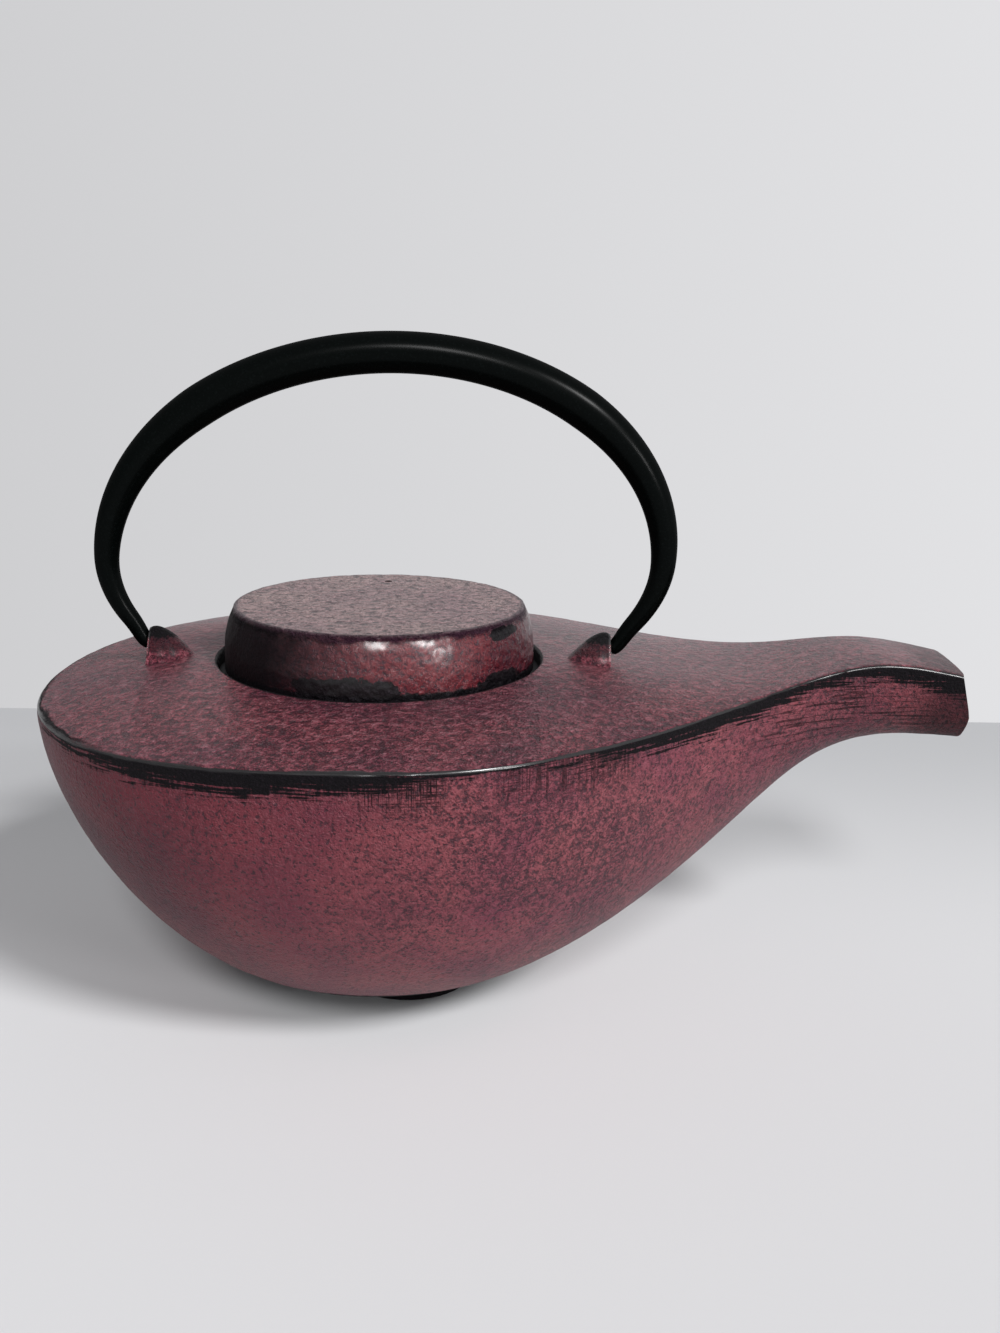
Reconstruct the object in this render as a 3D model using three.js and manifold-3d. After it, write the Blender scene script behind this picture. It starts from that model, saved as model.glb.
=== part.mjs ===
// Cast-iron teapot with a teardrop body, a drop-in lid, a swinging bow handle and a basket strainer.
// Millimetres. +Z is up, +X runs from the round end to the spout, and the origin is on the table
// under the lid's axis.

import * as THREE from "three";
import { mergeVertices } from "three/addons/utils/BufferGeometryUtils.js";
import Module from "manifold-3d";

const wasm = await Module();
wasm.setup();

// Body in plan, measured from the lid's axis
const tailReach = 94.5;
const tailFullness = 3.04;
const beamReach = 16;
const halfBeam = 89;
const quarterReach = -20;
const flankReach = 30;
const flankHalfWidth = 85.6;
const shoulderReach = 65;
const shoulderHalfWidth = 64.6;
const neckReach = 112;
const neckHalfWidth = 26.9;
const lipReach = 164;
const lipHalfWidth = 15.8;

// Body in side view: heights above the table
const footHeight = 2;
const footRadius = 20;
const footReach = 8;
const tailRimHeight = 92;
const beltReach = 60;
const beltRimHeight = 94.6;
const neckRimHeight = 98.5;
const crownReach = 140;
const crownRimHeight = 103;
const lipRimHeight = 99.6;
const deckHeight = 99.5;
const ridgeRise = 0.7;
const keelReach = 0;
const bellyReach = 45;
const bellyRise = 9.9;
const throatReach = 100;
const throatKeelHeight = 49.8;
const spoutRootReach = 125;
const spoutRootKeelHeight = 71.7;
const lipKeelHeight = 78;
const lipLeanDegrees = 13;
const wall = 3;

// How full the body's lines are: the higher, the squarer
const deckFullness = 2.6;
const deckFall = 1.5;
const sternFullness = 2.25;
const sternRoundness = 1.4;

// Mouth of the body and its ledge
const mouthRadius = 46;
const ledgeDepth = 4;
const ledgeThickness = 3;
const ledgeBore = 39.5;

// Ears that carry the handle
const earFace = 66;
const earLength = 13;
const earHalfWidth = 7;
const earHeight = 9;
const earSetback = 1.8;
const earFullness = 1.6;
const pegHeight = 2.8;
const earWall = 0.9;

// Lid
const lidTopRadius = 43;
const lidFootRadius = 44.2;
const lidRise = 15.5;
const lidEdgeRadius = 3;
const lidWall = 3;
const skirtDepth = 6;
const ventRadius = 1.1;
const ventOffset = 30;

// Handle: a bow of round iron that swings on two turned-down pegs
const bowHalfSpan = 78.8;
const bowRise = 82.4;
const bowWaist = 25;
const bowEndInset = 1.1;
const bowLean = 0.06;
const bowMiddleRadius = 5.7;
const bowEndRadius = 2.1;
const bowTaperLength = 80;
const bowTaperFullness = 1.15;
const pegRadius = 1.7;
const pegLength = 4.5;

// Strainer
const gauzeRadius = 37.8;
const gauzeThickness = 0.6;
const strainerDepth = 48;
const collarOverhang = 4.3;
const sheetThickness = 0.8;
const collarNeck = 5;
const baseRim = 4;

// Clearances
const skirtClearance = 0.7;
const sleeveClearance = 0.3;
const pegClearance = 0.3;
const bowEndClearance = 0.6;

// How finely the curves are cut into flats
const OUTER_STEPS = { tail: 26, spout: 34, deck: 6, bowl: 13 };
const INNER_STEPS = { tail: 20, spout: 26, deck: 5, bowl: 10 };
const TURNED_SIDES = 56;
const SMALL_SIDES = 16;
const DOME_STEPS = 8;
const EDGE_STEPS = 6;
const BOW_STEPS = 52;
const BOW_SIDES = 12;
const SLOPE_SPAN = 1;

const iron = (name, colour) =>
  new THREE.MeshStandardMaterial({ name, color: colour, roughness: 0.62, metalness: 0.35 });
const redIron = iron("red_iron", 0x7a3a42);
const lidIron = iron("lid_iron", 0x74363e);
const blackIron = new THREE.MeshStandardMaterial({
  name: "black_iron", color: 0x0c1110, roughness: 0.35, metalness: 0.5,
});
const steel = new THREE.MeshStandardMaterial({
  name: "steel", color: 0xb9bcbe, roughness: 0.3, metalness: 1,
});

// Solids: to and from the kernel that joins and cuts

function solid(geometry) {
  const bare = geometry.clone();
  bare.deleteAttribute("normal");
  bare.deleteAttribute("uv");
  const welded = mergeVertices(bare, 1e-4);
  return new wasm.Manifold(new wasm.Mesh({
    numProp: 3,
    vertProperties: new Float32Array(welded.attributes.position.array),
    triVerts: new Uint32Array(welded.index.array),
  }));
}

function named(name, shape, material) {
  const mesh = shape.getMesh();
  const geometry = new THREE.BufferGeometry();
  geometry.setAttribute("position", new THREE.BufferAttribute(mesh.vertProperties, 3));
  geometry.setIndex(new THREE.BufferAttribute(mesh.triVerts, 1));
  geometry.computeVertexNormals();
  const piece = new THREE.Mesh(geometry, material);
  piece.name = name;
  return piece;
}

// A profile of [radius, height] pairs, turned about +Z. It runs up the outside.
function turned(profile, sides = TURNED_SIDES) {
  const points = profile.map(([radius, height]) => new THREE.Vector2(radius, height));
  const geometry = new THREE.LatheGeometry(points, sides);
  geometry.rotateX(Math.PI / 2);
  return geometry;
}

function rod(radius, from, to, sides = SMALL_SIDES) {
  const length = to.distanceTo(from);
  const geometry = new THREE.CylinderGeometry(radius, radius, length, sides);
  const turn = new THREE.Quaternion().setFromUnitVectors(
    new THREE.Vector3(0, 1, 0), to.clone().sub(from).normalize());
  geometry.applyQuaternion(turn);
  const middle = from.clone().add(to).multiplyScalar(0.5);
  geometry.translate(middle.x, middle.y, middle.z);
  return geometry;
}

// A skin through rings of points, each ring counter-clockwise as seen from the next, with both ends
// drawn to a point.
function skin(rings, start, end) {
  const sides = rings[0].length;
  const points = [...rings.flat(), start, end];
  const index = [];
  const at = (ring, side) => ring * sides + (side % sides);
  for (let side = 0; side < sides; side += 1) {
    for (let ring = 0; ring + 1 < rings.length; ring += 1) {
      index.push(at(ring, side), at(ring, side + 1), at(ring + 1, side));
      index.push(at(ring, side + 1), at(ring + 1, side + 1), at(ring + 1, side));
    }
    index.push(points.length - 2, at(0, side + 1), at(0, side));
    index.push(points.length - 1, at(rings.length - 1, side), at(rings.length - 1, side + 1));
  }
  const geometry = new THREE.BufferGeometry().setFromPoints(points);
  geometry.setIndex(index);
  return geometry;
}

// A batten: the smooth curve that a thin strip takes when it is held at a few marks. It leaves the
// first mark at a given slope and is free at the last one.
function batten(marks, slope = 0) {
  const last = marks.length - 1;
  const gap = marks.slice(1).map((mark, i) => mark[0] - marks[i][0]);
  const rise = marks.slice(1).map((mark, i) => (mark[1] - marks[i][1]) / gap[i]);
  const diagonal = [2 * gap[0]];
  const load = [6 * (rise[0] - slope)];
  for (let i = 1; i < last; i += 1) {
    const share = gap[i - 1] / diagonal[i - 1];
    diagonal.push(2 * (gap[i - 1] + gap[i]) - share * gap[i - 1]);
    load.push(6 * (rise[i] - rise[i - 1]) - share * load[i - 1]);
  }
  const bend = new Array(last + 1).fill(0);
  for (let i = last - 1; i >= 0; i -= 1) {
    bend[i] = (load[i] - gap[i] * bend[i + 1]) / diagonal[i];
  }
  return (x) => {
    let i = 0;
    while (i < last - 1 && x > marks[i + 1][0]) {
      i += 1;
    }
    const after = x - marks[i][0];
    const before = gap[i] - after;
    return (bend[i] * before ** 3 + bend[i + 1] * after ** 3) / (6 * gap[i])
      + (marks[i][1] / gap[i] - (bend[i] * gap[i]) / 6) * before
      + (marks[i + 1][1] / gap[i] - (bend[i + 1] * gap[i]) / 6) * after;
  };
}

// Body lines, in plan and in side view

function slopeOf(curve, x) {
  return (curve(x + SLOPE_SPAN / 2) - curve(x - SLOPE_SPAN / 2)) / SLOPE_SPAN;
}

function sternHalfWidthAt(x, inset = 0) {
  const aft = Math.min(1, Math.max(0, (beamReach - x) / (beamReach + tailReach - inset)));
  return (halfBeam - inset) * Math.sqrt(1 - aft ** tailFullness);
}

const planBatten = batten([
  [quarterReach, sternHalfWidthAt(quarterReach)], [flankReach, flankHalfWidth],
  [shoulderReach, shoulderHalfWidth], [neckReach, neckHalfWidth], [lipReach, lipHalfWidth],
], slopeOf(sternHalfWidthAt, quarterReach));
const rimBatten = batten([
  [beltReach, beltRimHeight], [neckReach, neckRimHeight],
  [crownReach, crownRimHeight], [lipReach, lipRimHeight],
]);
const ridgeBatten = batten([
  [mouthRadius, deckHeight], [neckReach, neckRimHeight + ridgeRise],
  [crownReach, crownRimHeight + ridgeRise], [lipReach, lipRimHeight + ridgeRise],
]);
const keelBatten = batten([
  [keelReach, footHeight], [bellyReach, footHeight + bellyRise], [throatReach, throatKeelHeight],
  [spoutRootReach, spoutRootKeelHeight], [lipReach, lipKeelHeight],
]);

function rimHeightAt(x) {
  if (x > beltReach) {
    return rimBatten(x);
  }
  const back = (beltReach - x) / (beltReach + tailReach);
  return beltRimHeight - (beltRimHeight - tailRimHeight) * back ** 2;
}

function ridgeHeightAt(x) {
  if (x > mouthRadius) {
    return ridgeBatten(x);
  }
  const back = Math.max(0, (-mouthRadius - x) / (tailReach - mouthRadius));
  return deckHeight - (deckHeight - tailRimHeight) * Math.min(1, back) ** deckFall;
}

// How far a wall's inner face lies from its outer one, measured across the body on a sloping run
function stepIn(curve, x, inset) {
  return inset * Math.hypot(1, slopeOf(curve, x));
}

// One cross-section of the body: the deck's arc over an elliptical bowl. The inset gives the inner
// face of the wall.
function bodyLines(x, inset) {
  const rim = rimHeightAt(x) - inset;
  const bottom = footHeight + inset;
  const low = Math.min(1, Math.max(0, (keelReach - x) / (keelReach + tailReach - inset)));
  return {
    half: x < quarterReach
      ? sternHalfWidthAt(x, inset)
      : planBatten(x) - stepIn(planBatten, x, inset),
    rim,
    ridge: ridgeHeightAt(x) - inset,
    keel: x < keelReach
      ? rim - (rim - bottom) * (1 - low ** sternFullness) ** (1 / sternRoundness)
      : keelBatten(x) + stepIn(keelBatten, x, inset),
  };
}

function bodyRing(x, inset, steps) {
  const { half, rim, ridge, keel } = bodyLines(x, inset);
  const side = [];
  for (let i = 0; i <= steps.deck; i += 1) {
    const out = i / steps.deck;
    side.push([half * out, rim + (ridge - rim) * (1 - out ** deckFullness)]);
  }
  for (let i = 1; i <= steps.bowl; i += 1) {
    const turn = (i / steps.bowl) * (Math.PI / 2);
    side.push([half * Math.cos(turn), rim - (rim - keel) * Math.sin(turn)]);
  }
  const near = side.map(([y, z]) => new THREE.Vector3(x, -y, z));
  const far = side.slice(1, -1).reverse().map(([y, z]) => new THREE.Vector3(x, y, z));
  return [...near, ...far];
}

function bodySkin(inset, overrun, steps) {
  const tail = -tailReach + inset;
  const end = lipReach + overrun;
  const rings = [];
  for (let i = 1; i <= steps.tail; i += 1) {
    rings.push(bodyRing(tail + (beamReach - tail) * (i / steps.tail) ** 2, inset, steps));
  }
  for (let i = 1; i <= steps.spout; i += 1) {
    rings.push(bodyRing(beamReach + (end - beamReach) * (i / steps.spout), inset, steps));
  }
  const { rim, keel } = bodyLines(end, inset);
  return skin(rings, new THREE.Vector3(tail, 0, rimHeightAt(tail) - inset),
    new THREE.Vector3(end, 0, (rim + keel) / 2));
}

// The mouth of the spout leans out at the bottom, so that the stream leaves the lower lip.
function lipCutter() {
  const size = 4 * lipHalfWidth;
  const cutter = new THREE.BoxGeometry(size, size, size);
  cutter.translate(size / 2, 0, 0);
  cutter.rotateY(-THREE.MathUtils.degToRad(lipLeanDegrees));
  cutter.translate(lipReach, 0, lipRimHeight);
  return cutter;
}

const ledgeTop = deckHeight - ledgeDepth;
const pegAxisHeight = deckHeight + pegHeight;

// A hood over the peg hole: a pointed boss, cut square on the side that the peg enters.
function ear(side) {
  const root = -wall / earHeight;
  const profile = [[0, root], [1, root]];
  for (let i = DOME_STEPS; i >= 0; i -= 1) {
    profile.push([i / DOME_STEPS, 1 - (i / DOME_STEPS) ** earFullness]);
  }
  const dome = turned(profile, 2 * SMALL_SIDES);
  dome.scale(earLength - earSetback, earHalfWidth, earHeight);
  dome.translate(side * (earFace - earSetback), 0, deckHeight - wall / 2);
  const face = new THREE.BoxGeometry(earLength, 2 * earLength, 4 * earLength);
  face.translate(side * (earFace + earLength / 2), 0, deckHeight);
  return solid(dome).subtract(solid(face));
}

function pegHole(side) {
  return rod(pegRadius + pegClearance,
    new THREE.Vector3(side * (earFace - pegLength - earWall), 0, pegAxisHeight),
    new THREE.Vector3(side * (earFace + earLength), 0, pegAxisHeight));
}

function potBody() {
  const ledge = turned([
    [ledgeBore, ledgeTop - ledgeThickness], [mouthRadius + wall, ledgeTop - ledgeThickness],
    [mouthRadius + wall, deckHeight - wall / 2], [ledgeBore, deckHeight - wall / 2],
    [ledgeBore, ledgeTop - ledgeThickness],
  ]);
  const mouth = turned([
    [0, ledgeTop], [mouthRadius, ledgeTop], [mouthRadius, 2 * deckHeight], [0, 2 * deckHeight],
  ]);
  const bore = turned([
    [0, ledgeTop - 2 * ledgeThickness], [ledgeBore, ledgeTop - 2 * ledgeThickness],
    [ledgeBore, deckHeight], [0, deckHeight],
  ]);
  const foot = turned([
    [0, 0], [footRadius, 0], [footRadius, footHeight + wall], [0, footHeight + wall / 2],
  ], 2 * SMALL_SIDES);
  foot.translate(footReach, 0, 0);
  let body = solid(bodySkin(0, wall, OUTER_STEPS));
  body = body.add(solid(foot)).add(ear(1)).add(ear(-1));
  body = body.subtract(solid(bodySkin(wall, 3 * wall, INNER_STEPS)));
  body = body.add(solid(ledge)).subtract(solid(mouth)).subtract(solid(bore));
  body = body.subtract(solid(pegHole(1))).subtract(solid(pegHole(-1)));
  body = body.subtract(solid(lipCutter()));
  return named("pot_body", body, redIron);
}

// Lid: a hollow cast drum whose rim rests on the strainer's collar and whose skirt drops inside it
const collarTop = ledgeTop + sheetThickness;
const gauzeInner = gauzeRadius - gauzeThickness;
const collarInner = gauzeInner - sleeveClearance;
const skirtRadius = collarInner - skirtClearance;

function lid() {
  const top = deckHeight + lidRise;
  const profile = [
    [0, top - lidWall],
    [lidTopRadius - 2 * lidWall, top - lidWall],
    [lidTopRadius - lidWall, top - 2 * lidWall],
    [lidTopRadius - lidWall, deckHeight + lidWall],
    [skirtRadius - lidWall, deckHeight - lidWall],
    [skirtRadius - lidWall, collarTop - skirtDepth],
    [skirtRadius, collarTop - skirtDepth],
    [skirtRadius, collarTop],
    [lidFootRadius, collarTop],
    [lidFootRadius, deckHeight],
  ];
  for (let i = 0; i <= EDGE_STEPS; i += 1) {
    const turn = (i / EDGE_STEPS) * (Math.PI / 2);
    profile.push([
      lidTopRadius - lidEdgeRadius * (1 - Math.cos(turn)),
      top - lidEdgeRadius * (1 - Math.sin(turn)),
    ]);
  }
  profile.push([0, top]);
  const vent = rod(ventRadius, new THREE.Vector3(0, ventOffset, top - 2 * lidWall),
    new THREE.Vector3(0, ventOffset, top + lidWall));
  return named("lid", solid(turned(profile)).subtract(solid(vent)), lidIron);
}

// Handle: one bow, its lower ends tucked in to the ears and finished with a thin peg. The tuck is
// the depth of the oval that brings the bow's ends back to the ears at the height of the pegs.
const bowTuck = bowWaist / Math.sqrt(1 - ((earFace - bowEndInset) / bowHalfSpan) ** 2);

function bowPoint(turn) {
  const x = bowHalfSpan * Math.cos(turn);
  const above = Math.sin(turn) > 0 ? bowRise - bowWaist : bowTuck;
  const height = bowWaist + above * Math.sin(turn);
  return new THREE.Vector3(x + bowLean * height, 0, pegAxisHeight + height);
}

function bowTube() {
  const steps = BOW_STEPS;
  const tuck = Math.asin(Math.min(1, (bowWaist + bowEndRadius) / bowTuck));
  const centres = [];
  for (let i = 0; i <= steps; i += 1) {
    centres.push(bowPoint(Math.PI + tuck - (i / steps) * (Math.PI + 2 * tuck)));
  }
  const lengths = [0];
  for (let i = 1; i <= steps; i += 1) {
    lengths.push(lengths[i - 1] + centres[i].distanceTo(centres[i - 1]));
  }
  const across = new THREE.Vector3(0, 1, 0);
  const rings = centres.map((centre, i) => {
    const ahead = centres[Math.min(i + 1, steps)].clone().sub(centres[Math.max(i - 1, 0)]).normalize();
    const outward = new THREE.Vector3().crossVectors(ahead, across);
    const fromEnd = Math.min(1, Math.min(lengths[i], lengths[steps] - lengths[i]) / bowTaperLength);
    const swell = 1 - (1 - fromEnd) ** bowTaperFullness;
    const radius = bowEndRadius + (bowMiddleRadius - bowEndRadius) * swell;
    return Array.from({ length: BOW_SIDES }, (_, side) => {
      const turn = (side / BOW_SIDES) * 2 * Math.PI;
      return centre.clone()
        .addScaledVector(across, radius * Math.cos(turn))
        .addScaledVector(outward, radius * Math.sin(turn));
    });
  });
  return skin(rings, centres[0], centres[steps]);
}

function handle() {
  const faceAt = earFace + bowEndClearance;
  const between = new THREE.BoxGeometry(2 * faceAt, 2 * earFace, 2 * bowWaist);
  between.translate(0, 0, pegAxisHeight);
  let bow = solid(bowTube()).subtract(solid(between));
  for (const side of [1, -1]) {
    bow = bow.add(solid(rod(pegRadius,
      new THREE.Vector3(side * (faceAt + bowEndClearance), 0, pegAxisHeight),
      new THREE.Vector3(side * (earFace - pegLength), 0, pegAxisHeight))));
  }
  return named("handle", bow, blackIron);
}

// Strainer: a gauze cup between a stamped collar and a stamped base
const sleeveInner = gauzeRadius + sleeveClearance;
const strainerBottom = deckHeight - strainerDepth;

function strainerCollar() {
  return named("strainer_collar", solid(turned([
    [collarInner, ledgeTop], [sleeveInner, ledgeTop], [sleeveInner, ledgeTop - collarNeck],
    [sleeveInner + sheetThickness, ledgeTop - collarNeck], [sleeveInner + sheetThickness, ledgeTop],
    [ledgeBore + collarOverhang, ledgeTop], [ledgeBore + collarOverhang, collarTop],
    [collarInner, collarTop], [collarInner, ledgeTop],
  ])), steel);
}

function strainerGauze() {
  return named("strainer_gauze", solid(turned([
    [gauzeInner, strainerBottom + sheetThickness], [gauzeRadius, strainerBottom + sheetThickness],
    [gauzeRadius, ledgeTop], [gauzeInner, ledgeTop], [gauzeInner, strainerBottom + sheetThickness],
  ])), steel);
}

function strainerBase() {
  const outer = sleeveInner + sheetThickness;
  return named("strainer_base", solid(turned([
    [0, strainerBottom], [outer, strainerBottom], [outer, strainerBottom + baseRim],
    [sleeveInner, strainerBottom + baseRim], [sleeveInner, strainerBottom + sheetThickness],
    [0, strainerBottom + sheetThickness],
  ])), steel);
}

const teapot = new THREE.Group();
teapot.add(potBody(), lid(), handle(), strainerCollar(), strainerGauze(), strainerBase());

export default teapot;
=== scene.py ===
# A low cast-iron teapot: a teardrop body drawn out into an open spout, a drop-in lid, a bow handle
# on two ears, and a basket strainer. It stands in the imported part's frame: +X to the spout, +Z up,
# the table at zero. The pot's sizes are written in millimetres, the camera's and room's in metres.

import functools
import math

import bmesh
import bpy
import numpy as np
from mathutils import Matrix, Vector, noise


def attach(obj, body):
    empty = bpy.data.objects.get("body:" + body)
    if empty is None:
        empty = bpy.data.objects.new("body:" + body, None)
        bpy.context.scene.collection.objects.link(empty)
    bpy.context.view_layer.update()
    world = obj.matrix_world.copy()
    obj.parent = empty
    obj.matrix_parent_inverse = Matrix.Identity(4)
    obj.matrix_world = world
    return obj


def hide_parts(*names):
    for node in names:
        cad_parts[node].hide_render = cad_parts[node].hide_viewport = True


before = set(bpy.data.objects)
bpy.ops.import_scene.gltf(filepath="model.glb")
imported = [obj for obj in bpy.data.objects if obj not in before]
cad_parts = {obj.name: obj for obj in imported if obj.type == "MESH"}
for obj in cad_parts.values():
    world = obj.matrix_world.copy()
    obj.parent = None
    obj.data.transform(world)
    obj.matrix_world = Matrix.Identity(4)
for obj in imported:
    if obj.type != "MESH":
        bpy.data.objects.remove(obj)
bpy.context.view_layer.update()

# The camera looks at the pot's flank from about forty centimetres, a little above the handle. It is
# held by hand, so it leans a degree to one side.

EYE = Vector((0.0345, -0.400, 0.2022))
LOOK_DOWN = math.radians(14.82)
LEAN = math.radians(0.85)
LENS = 38.7
NEAREST_SEEN = 0.01


def placed(name, data):
    """A new object in the scene, at the origin."""
    thing = bpy.data.objects.new(name, data)
    bpy.context.scene.collection.objects.link(thing)
    return thing


camera = placed("camera", bpy.data.cameras.new("camera"))
camera.data.lens = LENS
camera.data.clip_start = NEAREST_SEEN
aim = Matrix.Rotation(math.pi / 2 - LOOK_DOWN, 4, "X") @ Matrix.Rotation(LEAN, 4, "Z")
camera.matrix_world = Matrix.Translation(EYE) @ aim
bpy.context.scene.camera = camera
bpy.context.scene.view_settings.view_transform = "Standard"

# The table is a matt pale grey board that ends a hand's length behind the pot, before a white wall.
# Daylight comes in from the right and from behind the camera. Every material from here on is
# written as a recipe of nodes, with its sums in plain Python.

MM = 0.001
TABLE_SIDE, TABLE_BACK = 3.0, 0.271
TABLE_GREY, TABLE_FAR_SHADE_GREY = (0.68, 0.68, 0.695), (0.48, 0.485, 0.50)
WALL_GREY = (0.69, 0.69, 0.705)
AIR_LIGHT, SIDE_LIGHT = 0.26, 0.30
# Each window has the way to it, its breadth in degrees and its strength
WINDOWS = {
    "window_right": ((0.65, -0.71, 0.76), 12, 2.75),
    "window_front": ((0.04, -1.05, 0.78), 12, 1.5),
    "window_low": ((0.74, -0.67, 0.27), 9, 0.7),
}


class Mark:
    """A socket of a node tree. A sum that is written on it becomes Math nodes."""

    def __init__(self, recipe, socket):
        self.recipe = recipe
        self.socket = socket

    def sum(self, operation, *values):
        return self.recipe.node("ShaderNodeMath", {"operation": operation}, dict(enumerate(values)))

    def __add__(self, other):
        return self.sum("ADD", self, other)

    def __sub__(self, other):
        return self.sum("SUBTRACT", self, other)

    def __rsub__(self, other):
        return self.sum("SUBTRACT", other, self)

    def __neg__(self):
        return self.sum("SUBTRACT", 0, self)

    def __abs__(self):
        return self.sum("ABSOLUTE", self)

    def __mul__(self, other):
        return self.sum("MULTIPLY", self, other)

    def __truediv__(self, other):
        return self.sum("DIVIDE", self, other)

    def __pow__(self, other):
        return self.sum("POWER", self, other)

    def __lt__(self, other):
        return self.sum("LESS_THAN", self, other)

    __radd__ = __add__
    __rmul__ = __mul__

    def least(self, other):
        return self.sum("MINIMUM", self, other)

    def most(self, other):
        return self.sum("MAXIMUM", self, other)

    def rises(self, low, high):
        """Nothing below low, one above high, and a soft step between."""
        return self.recipe.node(
            "ShaderNodeMapRange", {"interpolation_type": "SMOOTHSTEP"},
            {"Value": self, "From Min": low, "From Max": high})

    def within(self, reach, fade):
        """One where this is well under the reach, falling to nothing over the last of it."""
        return (reach - self).rises(0, fade)

    def waver(self, breadth):
        """A noise made into an unevenness about nothing."""
        return (self - 0.5) * breadth


def any_of(masks):
    return functools.reduce(Mark.most, masks)


class Recipe:
    """A node tree that is written one node at a time."""

    def __init__(self, tree):
        self.tree = tree

    def node(self, kind, settings=None, values=None, out=0):
        """Adds a node: its settings first, then the values or links of its sockets."""
        node = self.tree.nodes.new(kind)
        for name, setting in (settings or {}).items():
            if name == "stops":
                for _ in setting[2:]:
                    node.color_ramp.elements.new(0.5)
                for stop, (place, grey) in zip(node.color_ramp.elements, setting):
                    stop.position = place
                    stop.color = (grey, grey, grey, 1)
            else:
                setattr(node, name, setting)
        for name, value in (values or {}).items():
            socket = node.inputs[name]
            if isinstance(value, Mark):
                self.tree.links.new(value.socket, socket)
            elif socket.type == "RGBA":
                socket.default_value = (*value, 1)
            else:
                socket.default_value = value
        return Mark(self, node.outputs[out])

    def ends_in(self, kind, result):
        """Links the result to the tree's last node."""
        end = self.tree.nodes.new(kind)
        self.tree.links.new(result.socket, end.inputs[0])


class Finish(Recipe):
    """A material, written as a recipe that ends in surface()."""

    def __init__(self, name):
        self.material = bpy.data.materials.new(name)
        self.material.use_nodes = True
        super().__init__(self.material.node_tree)
        self.tree.nodes.clear()
        self.place = self.node("ShaderNodeTexCoord", out="Object")

    def along(self, axis):
        """The distance along one axis, in millimetres."""
        return self.node("ShaderNodeSeparateXYZ", None, {0: self.place}, out=axis) * (1 / MM)

    def grain(self, size, detail=3.0, rough=0.5, stretch=(1, 1, 1), warp=0.0):
        """Cloudy noise whose lumps are about size millimetres across, stretched along the axes."""
        scale = [1 / (MM * size * s) for s in stretch]
        where = self.node("ShaderNodeVectorMath", {"operation": "MULTIPLY"},
                          {0: self.place, 1: scale})
        return self.node("ShaderNodeTexNoise", None, {
            "Vector": where, "Scale": 1.0, "Detail": detail, "Roughness": rough,
            "Distortion": warp})

    def blend(self, share, first, second):
        """The first colour where share is nought, the second where it is one."""
        return self.node("ShaderNodeMix", {"data_type": "RGBA"}, {0: share, 6: first, 7: second},
                         out=2)

    def surface(self, height, depth, **sockets):
        """The finished material. Its relief stands depth millimetres high where height is one."""
        bump = self.node("ShaderNodeBump", None, {
            "Strength": 1.0, "Distance": depth * MM, "Height": height})
        values = {name.replace("_", " "): value for name, value in sockets.items()}
        shader = self.node("ShaderNodeBsdfPrincipled", None, {"Normal": bump, **values})
        self.ends_in("ShaderNodeOutputMaterial", shader)
        return self.material


table_mesh = bpy.data.meshes.new("table")
table_mesh.from_pydata(
    [(-TABLE_SIDE, -TABLE_SIDE, 0), (TABLE_SIDE, -TABLE_SIDE, 0),
     (TABLE_SIDE, TABLE_BACK, 0), (-TABLE_SIDE, TABLE_BACK, 0)], [], [(0, 1, 2, 3)])
board = Finish("table_board")
# Towards the wall the board is painted darker: painted shade, the daylight falling off.
shade_to_the_wall = board.along(1).rises(0, TABLE_BACK / MM)
table_mesh.materials.append(board.surface(
    board.grain(0.8, detail=2.0), 0.02, Roughness=0.8, Specular_IOR_Level=0.2,
    Base_Color=board.blend(shade_to_the_wall, TABLE_GREY, TABLE_FAR_SHADE_GREY)))
table = placed("table", table_mesh)

world = bpy.data.worlds.new("room")
bpy.context.scene.world = world
world.use_nodes = True
world.node_tree.nodes.clear()
room = Recipe(world.node_tree)
# Only to a ray that looks at it is the wall bright, and brighter to the right. Else it glows faintly
looks = any_of([
    room.node("ShaderNodeLightPath", out="Is Camera Ray"),
    room.node("ShaderNodeLightPath", out="Is Glossy Ray"),
    room.node("ShaderNodeLightPath", out="Is Transmission Ray")])
outwards = room.node("ShaderNodeTexCoord", out="Generated")
rightwards = room.node("ShaderNodeSeparateXYZ", None, {0: outwards})
wall_light = 1 - AIR_LIGHT + rightwards * SIDE_LIGHT
glow = room.node("ShaderNodeBackground", None, {
    "Color": WALL_GREY, "Strength": looks * wall_light + AIR_LIGHT})
room.ends_in("ShaderNodeOutputWorld", glow)

for name, (towards, breadth, strength) in WINDOWS.items():
    light = bpy.data.lights.new(name, "SUN")
    light.angle = math.radians(breadth)
    light.energy = strength
    window = placed(name, light)
    window.rotation_euler = Vector(towards).to_track_quat("Z", "Y").to_euler()

# The body is one hollow iron casting: a round bowl under a low crowned deck, drawn out into an open
# spout. It has a ledged mouth for the lid, an ear at each end of the mouth for the handle, and a
# low round foot. Outside it is black iron under a worn wine-red lacquer, inside it is enamelled.

TAIL_REACH, TAIL_FULLNESS, TAIL_RIM = 94.5, 3.04, 92
QUARTER_REACH = -20
BEAM_REACH, HALF_BEAM = 16, 89
FLANK_REACH, FLANK_HALF_WIDTH = 30, 85.6
BELLY_REACH, BELLY_RISE = 45, 9.9
BELT_REACH, BELT_RIM = 60, 94.6
SHOULDER_REACH, SHOULDER_HALF_WIDTH = 65, 64.6
THROAT_REACH, THROAT_KEEL = 100, 49.8
NECK_REACH, NECK_HALF_WIDTH, NECK_RIM = 112, 26.9, 98.5
ROOT_REACH, ROOT_KEEL = 125, 71.7
CROWN_REACH, CROWN_RIM = 140, 103
LIP_REACH, LIP_HALF_WIDTH, LIP_RIM, LIP_KEEL = 164, 15.8, 99.6, 78
RIDGE_RISE = 0.7
DECK_HEIGHT, DECK_FULLNESS, DECK_FALL = 99.5, 2.6, 1.5
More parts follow.
